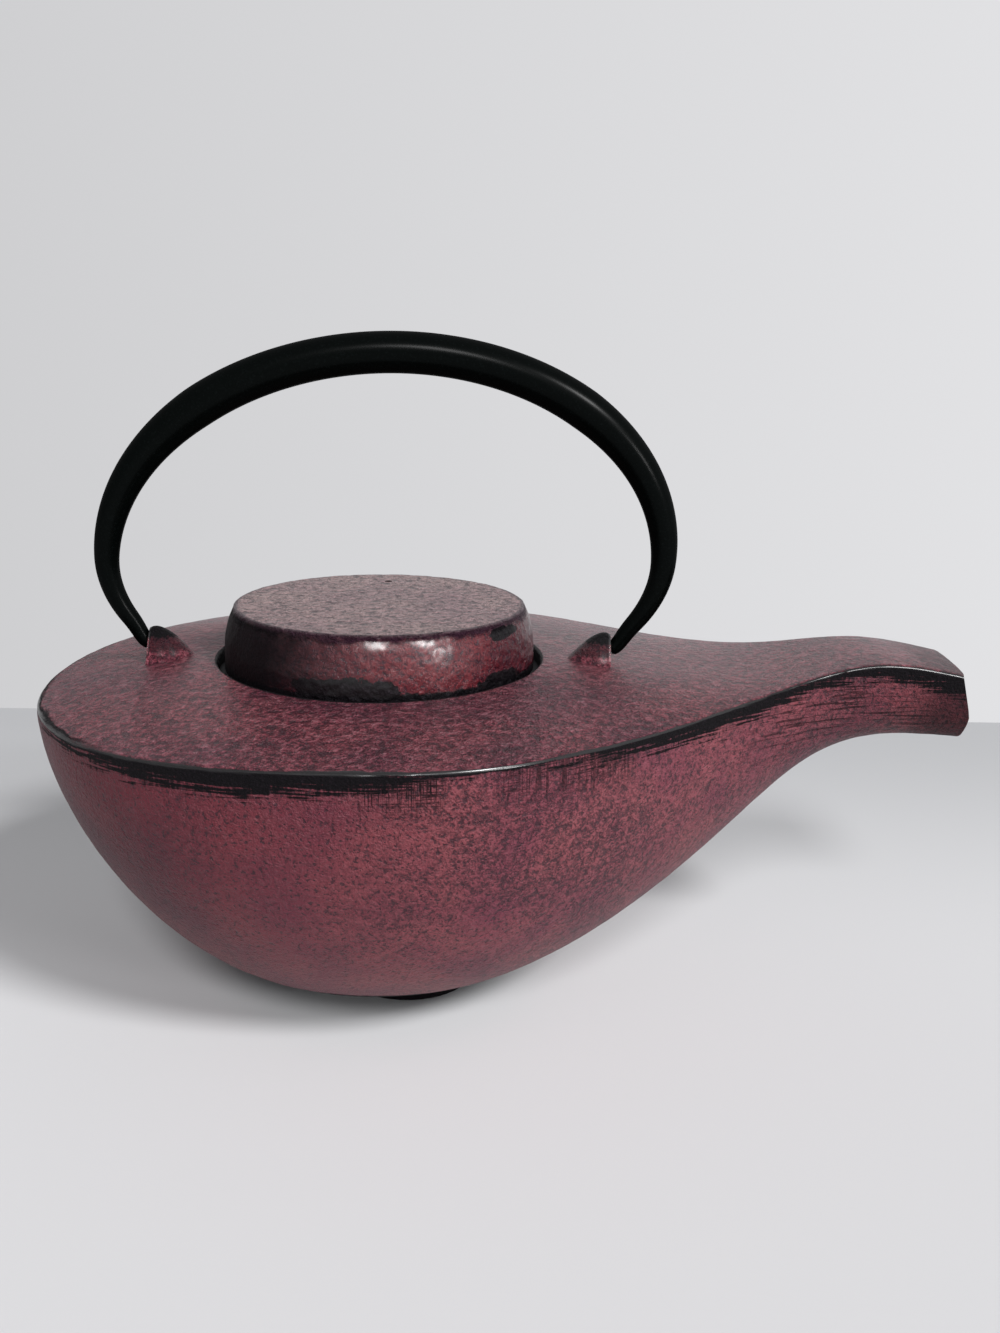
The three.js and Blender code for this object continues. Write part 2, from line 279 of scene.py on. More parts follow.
STERN_FULLNESS, STERN_ROUNDNESS = 2.25, 1.4
FOOT_HEIGHT, FOOT_RADIUS, FOOT_REACH, FOOT_BEVEL = 2, 20, 8, 0.6
MOUTH_RADIUS = 46
WALL, RIM_ROUNDING, INNER_ROUNDING, LONGEST_EASING = 3, 1.5, 0.5, 0.4
# How closely a skin's ribs stand along its edge, and how many points a rib has on each stretch
OUTER_STEPS = {"spacing": 1.7, "deck": 46, "rim": 6, "bowl": 78}
INNER_STEPS = {"spacing": 4.0, "deck": 16, "rim": 2, "bowl": 30}
STERN_EDGE_LENGTH = 360
RIB_SAMPLES, EDGE_SAMPLES = 300, 4001
NEAR_NOUGHT = 1e-6
# Points as close as this, in metres, are one point, and edges as short as this are none
WELD, SLIVER = 1e-6, 1e-7


def batten(marks, first_slope=0.0):
    """The curve of a thin strip held at a few marks, with a given slope at the first of them."""
    at, height = np.array(marks, float).T
    gap = np.diff(at)
    rise = np.diff(height) / gap
    count = len(at)
    stiffness = np.eye(count)
    load = np.zeros(count)
    stiffness[0, :2] = 2 * gap[0], gap[0]
    load[0] = 6 * (rise[0] - first_slope)
    for i in range(1, count - 1):
        stiffness[i, i - 1:i + 2] = gap[i - 1], 2 * (gap[i - 1] + gap[i]), gap[i]
        load[i] = 6 * (rise[i] - rise[i - 1])
    bend = np.linalg.solve(stiffness, load)

    def curve(x):
        i = np.clip(np.searchsorted(at, x) - 1, 0, count - 2)
        after = x - at[i]
        before = gap[i] - after
        return ((bend[i] * before ** 3 + bend[i + 1] * after ** 3) / (6 * gap[i])
                + (height[i] / gap[i] - bend[i] * gap[i] / 6) * before
                + (height[i + 1] / gap[i] - bend[i + 1] * gap[i] / 6) * after)

    return curve


def slope(curve, x):
    """The slope of a curve, measured over a millimetre."""
    return curve(x + 0.5) - curve(x - 0.5)


def stern_half_width(x, inset=0.0):
    aft = np.clip((BEAM_REACH - x) / (BEAM_REACH + TAIL_REACH - inset), 0, 1)
    return (HALF_BEAM - inset) * np.sqrt(1 - aft ** TAIL_FULLNESS)


plan_batten = batten(
    [(QUARTER_REACH, stern_half_width(QUARTER_REACH)), (FLANK_REACH, FLANK_HALF_WIDTH),
     (SHOULDER_REACH, SHOULDER_HALF_WIDTH), (NECK_REACH, NECK_HALF_WIDTH),
     (LIP_REACH, LIP_HALF_WIDTH)],
    slope(stern_half_width, QUARTER_REACH))
rim_batten = batten([
    (BELT_REACH, BELT_RIM), (NECK_REACH, NECK_RIM), (CROWN_REACH, CROWN_RIM), (LIP_REACH, LIP_RIM)])
ridge_batten = batten([
    (MOUTH_RADIUS, DECK_HEIGHT), (NECK_REACH, NECK_RIM + RIDGE_RISE),
    (CROWN_REACH, CROWN_RIM + RIDGE_RISE), (LIP_REACH, LIP_RIM + RIDGE_RISE)])
keel_batten = batten([
    (0, FOOT_HEIGHT), (BELLY_REACH, FOOT_HEIGHT + BELLY_RISE), (THROAT_REACH, THROAT_KEEL),
    (ROOT_REACH, ROOT_KEEL), (LIP_REACH, LIP_KEEL)])


def step_in(curve, x, inset):
    """How far a curve moves where the wall is set in by so much, square to the curve's slope."""
    return inset * np.hypot(1, slope(curve, x))


def half_width(x, inset=0.0):
    return np.where(x < QUARTER_REACH, stern_half_width(x, inset),
                    plan_batten(x) - step_in(plan_batten, x, inset))


def rim_height(x):
    stern = BELT_RIM - (BELT_RIM - TAIL_RIM) * ((BELT_REACH - x) / (BELT_REACH + TAIL_REACH)) ** 2
    return np.where(x > BELT_REACH, rim_batten(x), stern)


def ridge_height(x):
    back = np.clip((-MOUTH_RADIUS - x) / (TAIL_REACH - MOUTH_RADIUS), 0, 1)
    stern = DECK_HEIGHT - (DECK_HEIGHT - TAIL_RIM) * back ** DECK_FALL
    return np.where(x > MOUTH_RADIUS, ridge_batten(x), stern)


def outness(x, y, inset):
    """Nought on the body's middle plane, one at its edge."""
    return np.clip(np.abs(y) / np.maximum(half_width(x, inset), NEAR_NOUGHT), 0, 1)


def deck_height(x, y, inset=0.0):
    rim, ridge = rim_height(x), ridge_height(x)
    return rim - inset + (ridge - rim) * (1 - outness(x, y, inset) ** DECK_FULLNESS)


def bowl_height(x, y, inset=0.0):
    rim = rim_height(x) - inset
    low = np.clip(-x / (TAIL_REACH - inset), 0, 1)
    swell = (1 - low ** STERN_FULLNESS) ** (1 / STERN_ROUNDNESS)
    stern = rim - (rim - FOOT_HEIGHT - inset) * swell
    keel = np.where(x < 0, stern, keel_batten(x) + step_in(keel_batten, x, inset))
    return rim - (rim - keel) * np.sqrt(1 - outness(x, y, inset) ** 2)


def eased(start, corner, end, count):
    """A corner eased by a curve from start to end."""
    t = np.linspace(0, 1, count + 2)[1:-1, None]
    return (1 - t) ** 2 * start + 2 * t * (1 - t) * corner + t ** 2 * end


def rib(centre, edge_x, edge_y, inset, rounding, steps):
    """One line over the body's skin, from the middle of the deck over the rim to the keel."""
    length = math.hypot(edge_x - centre, edge_y)

    def point(share, height):
        x = centre + share * (edge_x - centre)
        y = share * edge_y
        return np.stack([x, y, height(x, y, inset)], axis=-1)

    deck_end = 1 - min(LONGEST_EASING, rounding / length)
    deck = point(np.linspace(0, deck_end, steps["deck"]), deck_height)
    shares = np.cos(np.linspace(0, math.pi / 2, RIB_SAMPLES))
    sample = point(shares, bowl_height)
    run = np.append(0, np.cumsum(np.linalg.norm(np.diff(sample, axis=0), axis=1)))
    stops = np.linspace(min(rounding, LONGEST_EASING * run[-1]), run[-1], steps["bowl"])
    bowl = point(np.interp(stops, run, shares), bowl_height)
    corner = point(np.array([1.0]), bowl_height)
    return np.concatenate([deck, eased(deck[-1], corner, bowl[0], steps["rim"]), bowl])


def stern_edges(inset, count):
    """Evenly spaced points of the stern's edge in plan, from the near side round to the far one."""
    turn = np.linspace(-math.pi / 2, math.pi / 2, EDGE_SAMPLES)
    x = BEAM_REACH - (BEAM_REACH + TAIL_REACH - inset) * np.cos(turn) ** (2 / TAIL_FULLNESS)
    y = np.sign(turn) * half_width(x, inset)
    run = np.append(0, np.cumsum(np.hypot(np.diff(x), np.diff(y))))
    stops = np.linspace(0, run[-1], count)
    return zip(np.interp(stops, run, x), np.interp(stops, run, y))


def skinned(name, rows, wrap=False, cap=False):
    """A closed skin through rows of points, in millimetres."""
    count, length = rows.shape[:2]
    faces = []
    for i in range(count if wrap else count - 1):
        for j in range(length - 1):
            a, b = i * length + j, ((i + 1) % count) * length + j
            faces.append((a, b, b + 1, a + 1))
    if cap:
        last = (count - 1) * length
        faces.append(tuple(range(length)) + tuple(range(last + length - 1, last - 1, -1)))
    mesh = bpy.data.meshes.new(name)
    mesh.from_pydata((rows.reshape(-1, 3) * MM).tolist(), [], faces)
    work = bmesh.new()
    work.from_mesh(mesh)
    bmesh.ops.remove_doubles(work, verts=work.verts, dist=WELD)
    bmesh.ops.dissolve_degenerate(work, edges=work.edges, dist=SLIVER)
    bmesh.ops.recalc_face_normals(work, faces=work.faces)
    work.to_mesh(mesh)
    work.free()
    return placed(name, mesh)


def body_skin(name, inset, overrun, rounding, steps):
    """The whole skin of the body, or of its inside, run past the lip and closed there."""
    fore = np.arange(LIP_REACH + overrun, BEAM_REACH, -steps["spacing"])
    edges = stern_edges(inset, int(STERN_EDGE_LENGTH / steps["spacing"]))
    near = [rib(x, x, -float(half_width(x, inset)), inset, rounding, steps) for x in fore]
    stern = [rib(BEAM_REACH, x, y, inset, rounding, steps) for x, y in edges]
    far = [points * (1, -1, 1) for points in reversed(near)]
    return skinned(name, np.array(near + stern + far), cap=True)


# How quickly the finer lumps of a cast skin fade, how much finer each layer is, and the layers
LUMPINESS = (0.8, 2.0, 3)
CASTING_DENT, DENT_BREADTH = 0.14, 5.0
ROD_SIDES, EAR_SIDES, FINE_SIDES = 32, 48, 144
EAR_FACE, EAR_LENGTH, EAR_HALF_WIDTH, EAR_HEIGHT = 66, 13, 7, 9
EAR_SETBACK, EAR_FULLNESS, EAR_STEPS = 1.8, 1.6, 16
# The ear's foot flares into the deck. It is written in shares of the ear's width and height
EAR_FLARE = [(0, -0.34), (1.12, -0.34), (1.12, -0.06), (1.03, 0.01)]
PEG_AXIS = DECK_HEIGHT + 2.8
HOLE_RADIUS, HOLE_END, DRILL_LENGTH = 2.0, 60.6, 20
LEDGE_BORE, LEDGE_TOP, LEDGE_THICKNESS = 39.5, 95.5, 3
# The mouth's eased edge, in steps outwards and upwards from its corner with the deck
MOUTH_EASING = [(0, -1.3), (0.12, -0.8), (0.5, -0.3), (1.1, 0.1), (2.5, 0.7)]
LIP_LEAN, LIP_CORNER, LIP_SQUARENESS = 13, 0.9, 12
# Where the cutting tools end, clear of the metal that they cut
EAR_TOOL_SIDE, EAR_TOOL_LOW, EAR_TOOL_HIGH = 30, 60, 140
MOUTH_TOOL_HIGH, BORE_TOOL_LOW, BORE_TOOL_HIGH, LIP_TOOL_SIDE = 104, 80, 97, 40


def turned(name, profile, sides=96):
    """A profile of radius and height pairs, turned about the Z axis."""
    turn = np.linspace(0, 2 * math.pi, sides, endpoint=False)
    radius, height = np.array(profile, float).T
    rows = [np.stack([radius * math.cos(t), radius * math.sin(t), height], axis=-1) for t in turn]
    return skinned(name, np.array(rows), wrap=True)


def rod(name, radius, start, length, axis_turn):
    shape = turned(name, [(0, 0), (radius, 0), (radius, length), (0, length)], ROD_SIDES)
    shape.data.transform(Matrix.Translation(Vector(start) * MM) @ axis_turn)
    return shape


def block(name, low, high):
    """A box between two corners, in millimetres."""
    mesh = bpy.data.meshes.new(name)
    work = bmesh.new()
    bmesh.ops.create_cube(work, size=1.0)
    middle, size = (Vector(low) + Vector(high)) / 2, Vector(high) - Vector(low)
    for vert in work.verts:
        vert.co = [(middle[i] + vert.co[i] * size[i]) * MM for i in range(3)]
    work.to_mesh(mesh)
    work.free()
    return placed(name, mesh)


def settle(shape):
    """Puts what the shape's modifier makes in its mesh, and takes the modifier off."""
    graph = bpy.context.evaluated_depsgraph_get()
    mesh = bpy.data.meshes.new_from_object(shape.evaluated_get(graph))
    shape.modifiers.clear()
    shape.data = mesh


def worked(shape, tool, operation):
    """Joins the tool to the shape or cuts it from the shape. The tool is used up."""
    step = shape.modifiers.new("work", "BOOLEAN")
    step.operation = operation
    step.solver = "MANIFOLD"
    step.object = tool
    settle(shape)
    bpy.data.objects.remove(tool)


def dented(shape, depth, breadth):
    """The slight unevenness of a sand-cast skin, pressed inwards so that the outline holds."""
    work = bmesh.new()
    work.from_mesh(shape.data)
    work.normal_update()
    for vert in work.verts:
        lumps = noise.fractal(vert.co / (breadth * MM), *LUMPINESS)
        vert.co -= vert.normal * depth * MM * min(1.0, max(0.0, 0.5 + 0.5 * lumps))
    work.to_mesh(shape.data)
    work.free()


def ear(side):
    """A hooded boss, cut square on the side that the handle's peg enters."""
    dome = [(share, 1 - share ** EAR_FULLNESS) for share in np.linspace(1, 0, EAR_STEPS)]
    boss = turned("ear", EAR_FLARE + dome[1:], EAR_SIDES)
    middle = (side * (EAR_FACE - EAR_SETBACK) * MM, 0, (DECK_HEIGHT - WALL / 2) * MM)
    sizes = (EAR_LENGTH - EAR_SETBACK, EAR_HALF_WIDTH, EAR_HEIGHT, 1)
    boss.data.transform(Matrix.Translation(middle) @ Matrix.Diagonal(sizes))
    low_x, high_x = sorted((side * EAR_FACE, side * (EAR_FACE + 3 * EAR_LENGTH)))
    low, high = (low_x, -EAR_TOOL_SIDE, EAR_TOOL_LOW), (high_x, EAR_TOOL_SIDE, EAR_TOOL_HIGH)
    worked(boss, block("face", low, high), "DIFFERENCE")
    return boss


def lip_tool():
    """A block that trims the spout's end to a leaning lip with softened corners."""
    side = LIP_TOOL_SIDE
    y = np.linspace(-side, side, 2 * side + 1)
    lip = -LIP_CORNER * np.minimum(np.abs(y) / LIP_HALF_WIDTH, 1) ** LIP_SQUARENESS
    past, low, high = (np.full(len(y), float(place)) for place in (2 * side, -side, side))
    rows = []
    for x, z in ((lip, low), (past, low), (past, high), (lip, high)):
        line = np.stack([x, y, z], axis=-1)
        rows.append(np.concatenate([[(side, -side - 1, 0)], line, [(side, side + 1, 0)]]))
    tool = skinned("lip", np.array(rows), wrap=True)
    tool.data.transform(Matrix.Translation((LIP_REACH * MM, 0, LIP_RIM * MM))
                        @ Matrix.Rotation(math.radians(-LIP_LEAN), 4, "Y"))
    return tool


body = body_skin("pot_casting", 0.0, WALL, RIM_ROUNDING, OUTER_STEPS)
dented(body, CASTING_DENT, DENT_BREADTH)
foot = turned("foot", [
    (0, 0), (FOOT_RADIUS - FOOT_BEVEL, 0), (FOOT_RADIUS, FOOT_BEVEL),
    (FOOT_RADIUS, FOOT_HEIGHT + WALL), (0, FOOT_HEIGHT + WALL / 2)])
foot.data.transform(Matrix.Translation((FOOT_REACH * MM, 0, 0)))
worked(body, foot, "UNION")
for side in (1, -1):
    worked(body, ear(side), "UNION")
worked(body, body_skin("cavity", WALL, 3 * WALL, INNER_ROUNDING, INNER_STEPS), "DIFFERENCE")
ledge_bottom, ledge_head = LEDGE_TOP - LEDGE_THICKNESS, DECK_HEIGHT - WALL / 2
ledge = turned("ledge", [
    (LEDGE_BORE, ledge_bottom), (MOUTH_RADIUS + WALL, ledge_bottom),
    (MOUTH_RADIUS + WALL, ledge_head), (LEDGE_BORE, ledge_head), (LEDGE_BORE, ledge_bottom)])
worked(body, ledge, "UNION")
mouth_edge = [(MOUTH_RADIUS + out, DECK_HEIGHT + up) for out, up in MOUTH_EASING]
mouth = turned("mouth", [
    (0, LEDGE_TOP), (MOUTH_RADIUS, LEDGE_TOP), *mouth_edge,
    (mouth_edge[-1][0], MOUTH_TOOL_HIGH), (0, MOUTH_TOOL_HIGH)], FINE_SIDES)
worked(body, mouth, "DIFFERENCE")
bore = turned("bore", [
    (0, BORE_TOOL_LOW), (LEDGE_BORE, BORE_TOOL_LOW), (LEDGE_BORE, BORE_TOOL_HIGH),
    (0, BORE_TOOL_HIGH)], FINE_SIDES)
worked(body, bore, "DIFFERENCE")
for side in (1, -1):
    drill_turn = Matrix.Rotation(side * math.pi / 2, 4, "Y")
    drill = rod("hole", HOLE_RADIUS, (side * HOLE_END, 0, PEG_AXIS), DRILL_LENGTH, drill_turn)
    worked(body, drill, "DIFFERENCE")
worked(body, lip_tool(), "DIFFERENCE")

# The wear on the body follows its rim, so each point of the mesh carries its distance from the rim
RIM_TAPE_LENGTH = 60
# A face that lies deeper than this under the outer skin belongs to the inside
LINING_DEPTH, LINING_SIDE_DEPTH = 1.6, 1.2


def rim_distance(x, y, z):
    """How far a point lies from the rim: above nought on the deck, below nought on the bowl."""
    aft = np.clip((BEAM_REACH - x) / (BEAM_REACH + TAIL_REACH), 0, 1)
    level = 1 - aft ** TAIL_FULLNESS - (y / HALF_BEAM) ** 2
    slope_x = TAIL_FULLNESS * aft ** (TAIL_FULLNESS - 1) / (BEAM_REACH + TAIL_REACH)
    steepness = np.maximum(np.hypot(slope_x, 2 * y / HALF_BEAM ** 2), NEAR_NOUGHT)
    inwards = np.where(x < BEAM_REACH, level / steepness, half_width(x) - np.abs(y))
    up = z - rim_height(x)
    return np.where(up > -0.5, np.clip(inwards, 0, RIM_TAPE_LENGTH), up)


spots = np.array([vert.co for vert in body.data.vertices]) / MM
tape = body.data.attributes.new("from_rim", "FLOAT", "POINT")
tape.data.foreach_set("value", rim_distance(*spots.T).astype(np.float32))
face_x, face_y, face_z = np.array([face.center for face in body.data.polygons]).T / MM
inner = face_z < deck_height(face_x, face_y) - LINING_DEPTH
inner &= face_z > bowl_height(face_x, face_y) + LINING_DEPTH
inner &= np.abs(face_y) < half_width(face_x) - LINING_SIDE_DEPTH

SHEEN_FLECK_MAUVE, WEAR_AND_SHADE_BLACK = (0.33, 0.20, 0.225), (0.018, 0.004, 0.010)
BARE_IRON, DUSTY_IRON = (0.0022, 0.0013, 0.0024), (0.008, 0.005, 0.008)
# Each pair is a lacquer's darker and its paler red
# The tail's darker pair carries the bowl's painted shade.
TAIL_REDS = (0.059, 0.003, 0.011), (0.094, 0.006, 0.015)
BOWL_REDS = (0.132, 0.020, 0.041), (0.216, 0.050, 0.060)
DECK_REDS = (0.132, 0.017, 0.037), (0.238, 0.044, 0.061)
EAR_REDS = (0.044, 0.004, 0.009), (0.060, 0.006, 0.012)
EAR_FACE_HIGHLIGHT_RED = (0.24, 0.05, 0.06)
ENAMEL_BLACK = (0.008, 0.008, 0.009)
# Places along the pot, and heights on it, where its look changes
TAIL_WEAR, DECK_GLEAM, FIRST_BRUSHING, SECOND_BRUSHING = -66, -47, 12, 52
SPOUT_GLEAM, SPOUT_WEAR, SPOUT_DARKENING, TIP_WEAR = 90, 92, 95, 146
EAR_BACK, EAR_FRONT, EAR_FOOT, EAR_WEAR = 50, 68, 100.2, 103.7
MOUTH_WEAR_RADIUS, SOLE_HEIGHT = 47.1, 0.9
# How wide the bare band under the rim is, from the tail at nought to the lip at one
BAND_WIDTHS = [
    (0.00, 0.10), (0.13, 0.36), (0.24, 0.60), (0.37, 0.48), (0.45, 0.16), (0.56, 0.20),
    (0.64, 0.42), (0.76, 0.52), (0.82, 0.26), (0.88, 0.36), (1.00, 0.60)]


def blend_reds(finish, share, first, second):
    """The first pair of reds where share is nought, the second where it is one."""
    return [finish.blend(share, one, other) for one, other in zip(first, second)]


def lacquer(finish, reds, bare, ground, sheen_flecks, coarse, relief, polish, varnish, shine):
    """Wine-red lacquer on black sand-cast iron, quite gone where bare is one. Ground is how much of
    the black shows through the grain and how dark the painted shade in its creases is, sheen_flecks
    is how much pale mauve, a painted sheen, lies on its peaks, coarse is how wide the grain is and
    relief how high. Polish, varnish and shine make it glossier."""
    cloud = finish.grain(26, detail=4.0, rough=0.55).rises(0.28, 0.72)
    peel = finish.grain(1.6, detail=5.0, rough=0.62, warp=0.5)
    pores = finish.grain(0.6, detail=2.0)
    specks = finish.grain(1.0, detail=1.0, rough=0.4).rises(0.63, 0.69)
    crinkles = finish.grain(2.5, detail=4.0, rough=0.6, warp=0.4)
    wrinkles = finish.grain(2.6, detail=1.0)
    # Thin dark lines in the grain's creases are painted shade, and the bump sinks there too.
    crease_shade = abs(finish.grain(3.4, detail=4.0, rough=0.6) - 0.5).within(0.040, 0.035)
    fine = peel * 0.66 + pores * 0.34
    skin = (fine + (crinkles - fine) * coarse - 0.5) * (1 + coarse * 0.4) + 0.5
    wear_and_crease_shade = (0.40 + ground * 0.16 - skin).rises(-0.06, 0.08) * 0.86
    wear_and_crease_shade = any_of([wear_and_crease_shade, specks * 0.8, crease_shade * ground])
    red = finish.blend(cloud, *reds)
    # Pale mauve on the grain's peaks is painted sheen, the light catching the bumps.
    red = finish.blend(skin.rises(0.48, 0.64) * sheen_flecks, red, SHEEN_FLECK_MAUVE)
    red = finish.blend(wear_and_crease_shade, red, WEAR_AND_SHADE_BLACK)
    black = finish.blend(pores.rises(0.5, 0.75), BARE_IRON, DUSTY_IRON)
    height = (skin - specks * 0.15 - crease_shade * ground * 0.15) * relief + wrinkles * polish * 1.2
    return finish.surface(
        height, 1.3, Base_Color=finish.blend(bare, red, black), Metallic=bare * 0.6,
        Roughness=0.42 - polish * 0.36 + skin * 0.10 + bare * 0.35,
        Specular_IOR_Level=shine, Coat_Weight=varnish, Coat_Roughness=0.23)


coat = Finish("red_iron")
pot_x, pot_y, pot_z = coat.along(0), coat.along(1), coat.along(2)
from_rim = coat.node("ShaderNodeAttribute", {"attribute_name": "from_rim"}, out="Fac")
from_axis = (pot_x ** 2 + pot_y ** 2) ** 0.5
under = -from_rim
below_rim = under.rises(0, 0.3)
on_deck = from_rim.rises(-0.5, 0.5)
behind_face = abs(pot_x).within(EAR_FRONT, 1)
on_ear = (pot_z - EAR_FOOT).rises(0, 1) * behind_face * (abs(pot_x) - EAR_BACK).rises(0, 1)
ear_face = abs(abs(pot_x) - EAR_FACE).within(0.7, 0.3) * (pot_z - DECK_HEIGHT).rises(0, 0.5)

# The lacquer has gone in a ragged band under the rim, on the rim itself and at the spout's tip
strokes = coat.grain(1.0, rough=0.6, stretch=(15, 15, 0.7))
dabs = coat.grain(1.0, rough=0.6, stretch=(0.9, 0.9, 7))
band_width = coat.node("ShaderNodeValToRGB", {"stops": BAND_WIDTHS},
                       {0: (pot_x + TAIL_REACH) / (TAIL_REACH + LIP_REACH)})
band = (band_width * 11 + strokes.waver(15) + dabs.waver(5) - under).rises(-0.8, 1.0)
band = band * under.rises(-0.2, 0.3)
edge = abs(from_rim).within(1.0 + strokes.waver(2), 0.6)
deck_edge = from_rim.within(2.2 + strokes.waver(5), 1) * (TAIL_WEAR - pot_x).rises(-10, 8)
deck_edge = deck_edge * from_rim.rises(-0.4, 0)
tip = (pot_x + strokes.waver(16) - TIP_WEAR).rises(0, 14) * 0.60
streaks = strokes.rises(0.52, 0.60) * (pot_x - SPOUT_WEAR).rises(0, 22) * under.within(24, 8)
streaks = streaks * 0.7 * below_rim
ear_top = (pot_z + dabs.waver(3) - EAR_WEAR).rises(0, 0.8) * behind_face
mouth_wall = from_axis.within(MOUTH_WEAR_RADIUS, 0.4)
sole = pot_z.within(SOLE_HEIGHT, 0.4)

# A coarse brush has left its marks in two places under the rim, up and down and along
upright_marks = coat.grain(1.0, detail=1.0, stretch=(0.40, 30, 11)).rises(0.48, 0.58)
level_marks = coat.grain(1.0, detail=1.0, stretch=(8, 30, 0.42)).rises(0.52, 0.62)
brushing = abs(pot_x - FIRST_BRUSHING).within(12, 4).most(
    abs(pot_x - SECOND_BRUSHING).within(20, 6) * 0.75)
brushed = upright_marks.most(level_marks) * brushing
brushed = brushed * under.within(13 + dabs.waver(12), 8) * below_rim * 0.85
bare = any_of([band, edge, brushed, deck_edge, tip, sole, mouth_wall, ear_top, streaks])

# The black shows through most on the deck, and on the bowl more and more towards the spout. The
# painted shade in the grain's creases follows it.
patchy = coat.grain(34, detail=2.0).rises(0.35, 0.65)
bowl_ground = (pot_x + pot_z * 0.6).rises(-10, 110) * 0.40 + patchy * 0.25
ground = on_deck * (0.56 - bowl_ground) + bowl_ground
open_deck = on_deck * (1 - on_ear)

# The lacquer is glossiest on the far side of the deck and along the spout
glossy = on_deck * (pot_y + pot_x * 0.5).rises(-10, 45)
satin = on_deck * abs(pot_x - DECK_GLEAM).within(24, 16) * (-pot_y).rises(-12, 8) * 0.16
rubbed_edge = edge.most(ear_face) * (0.95 - (pot_x - SPOUT_GLEAM).rises(0, 35) * 0.6)

# The bowl is painted darker towards the tail and higher up, and paler low down and towards the
# spout: painted shade on the side away from the lamps and painted light from the table's bounce. Out
# along the spout it darkens again.
painted_light_share = (pot_x - pot_z * 0.6).rises(-125, 30)
painted_light_share = painted_light_share * (1 - (pot_x - SPOUT_DARKENING).rises(0, 50) * 0.5)
wine, brick = blend_reds(coat, painted_light_share, TAIL_REDS, BOWL_REDS)
wine, brick = blend_reds(coat, on_deck, (wine, brick), DECK_REDS)
wine, brick = blend_reds(coat, on_ear * 0.9, (wine, brick), EAR_REDS)
# The ear's square face is painted a paler red: a painted highlight.
brick = coat.blend(ear_face, brick, EAR_FACE_HIGHLIGHT_RED)
red_iron = lacquer(
    coat, (wine, brick), bare, ground, sheen_flecks=open_deck * 0.26 + 0.06, coarse=open_deck * 0.5,
    relief=1 + on_deck * 2.2 - ear_face * 2.4 - edge * 0.8,
    polish=ear_face.most(on_deck * 0.30 + glossy * 0.15),
    varnish=glossy * 0.28 + satin + rubbed_edge, shine=0.30)

enamel = Finish("black_inside")
brushed_on = enamel.grain(6, detail=4.0)
black_inside = enamel.surface(
    brushed_on, 0.2, Base_Color=ENAMEL_BLACK, Roughness=0.45 + brushed_on * 0.2,
    Specular_IOR_Level=0.15)

SHARP_EDGE = math.radians(38)


def dressed(shape, materials, cad_node, ridden):
    """Finishes a piece, hides the CAD part that it stands for, and hangs it on the body that it
    rides on.
    """
    shape.data.materials.clear()
    for material in materials:
        shape.data.materials.append(material)
    shape.data.polygons.foreach_set("use_smooth", np.ones(len(shape.data.polygons), bool))
    shape.data.set_sharp_from_angle(angle=SHARP_EDGE)
    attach(shape, ridden)
    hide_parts(cad_node)


dressed(body, [red_iron, black_inside], "pot_body", "pot")
body.data.polygons.foreach_set("material_index", inner.astype(np.int32))

# The strainer is a cup of fine woven wire between a stamped collar, which hangs on the mouth's
# ledge, and a stamped base. All of it is stainless steel.

SHEET = 0.8
COLLAR_TOP = LEDGE_TOP + SHEET
COLLAR_OUTER, COLLAR_INNER, COLLAR_NECK = 43.8, 36.9, 5
SHEET_BEVEL, BORE_BEVEL = 0.2, 0.3
SLEEVE_INNER = 38.1
SLEEVE_OUTER = SLEEVE_INNER + SHEET
STRAINER_BOTTOM, BASE_RIM = 51.5, 4
STEEL_GREY = (0.56, 0.57, 0.58)


def sheet_steel(name):
    steel = Finish(name)
    lines = steel.grain(1.0, stretch=(8, 8, 0.15))
    return steel.surface(
        lines, 0.03, Base_Color=STEEL_GREY, Metallic=1.0, Roughness=0.22 + lines * 0.2)


stamped_steel = sheet_steel("stamped_steel")
collar = turned("collar", [
    (COLLAR_INNER, LEDGE_TOP), (SLEEVE_INNER, LEDGE_TOP), (SLEEVE_INNER, LEDGE_TOP - COLLAR_NECK),
    (SLEEVE_OUTER, LEDGE_TOP - COLLAR_NECK), (SLEEVE_OUTER, LEDGE_TOP),
    (COLLAR_OUTER - SHEET_BEVEL, LEDGE_TOP), (COLLAR_OUTER, LEDGE_TOP + SHEET_BEVEL),
    (COLLAR_OUTER, COLLAR_TOP - SHEET_BEVEL), (COLLAR_OUTER - SHEET_BEVEL, COLLAR_TOP),
    (COLLAR_INNER + BORE_BEVEL, COLLAR_TOP), (COLLAR_INNER, COLLAR_TOP - BORE_BEVEL),
    (COLLAR_INNER, LEDGE_TOP)], FINE_SIDES)
dressed(collar, [stamped_steel], "strainer_collar", "strainer")
base = turned("base", [
    (0, STRAINER_BOTTOM), (SLEEVE_OUTER - SHEET, STRAINER_BOTTOM),
    (SLEEVE_OUTER - SHEET_BEVEL, STRAINER_BOTTOM + SHEET_BEVEL),
    (SLEEVE_OUTER, STRAINER_BOTTOM + SHEET), (SLEEVE_OUTER, STRAINER_BOTTOM + BASE_RIM),
    (SLEEVE_INNER, STRAINER_BOTTOM + BASE_RIM), (SLEEVE_INNER, STRAINER_BOTTOM + SHEET),
    (0, STRAINER_BOTTOM + SHEET)], FINE_SIDES)
dressed(base, [stamped_steel], "strainer_base", "strainer")

# The gauze is the strainer's wall. Upright warp wires stand in a ring, and level weft hoops lie
# close around them, from the base up to the collar. The wire is stainless steel too.

GAUZE_OUTER, GAUZE_INNER = 37.8, 37.2
WIRE = 0.15
WEFT_PITCH, WARP_COUNT = 1.1, 210
HOOP_SIDES, WIRE_SIDES = 96, 4


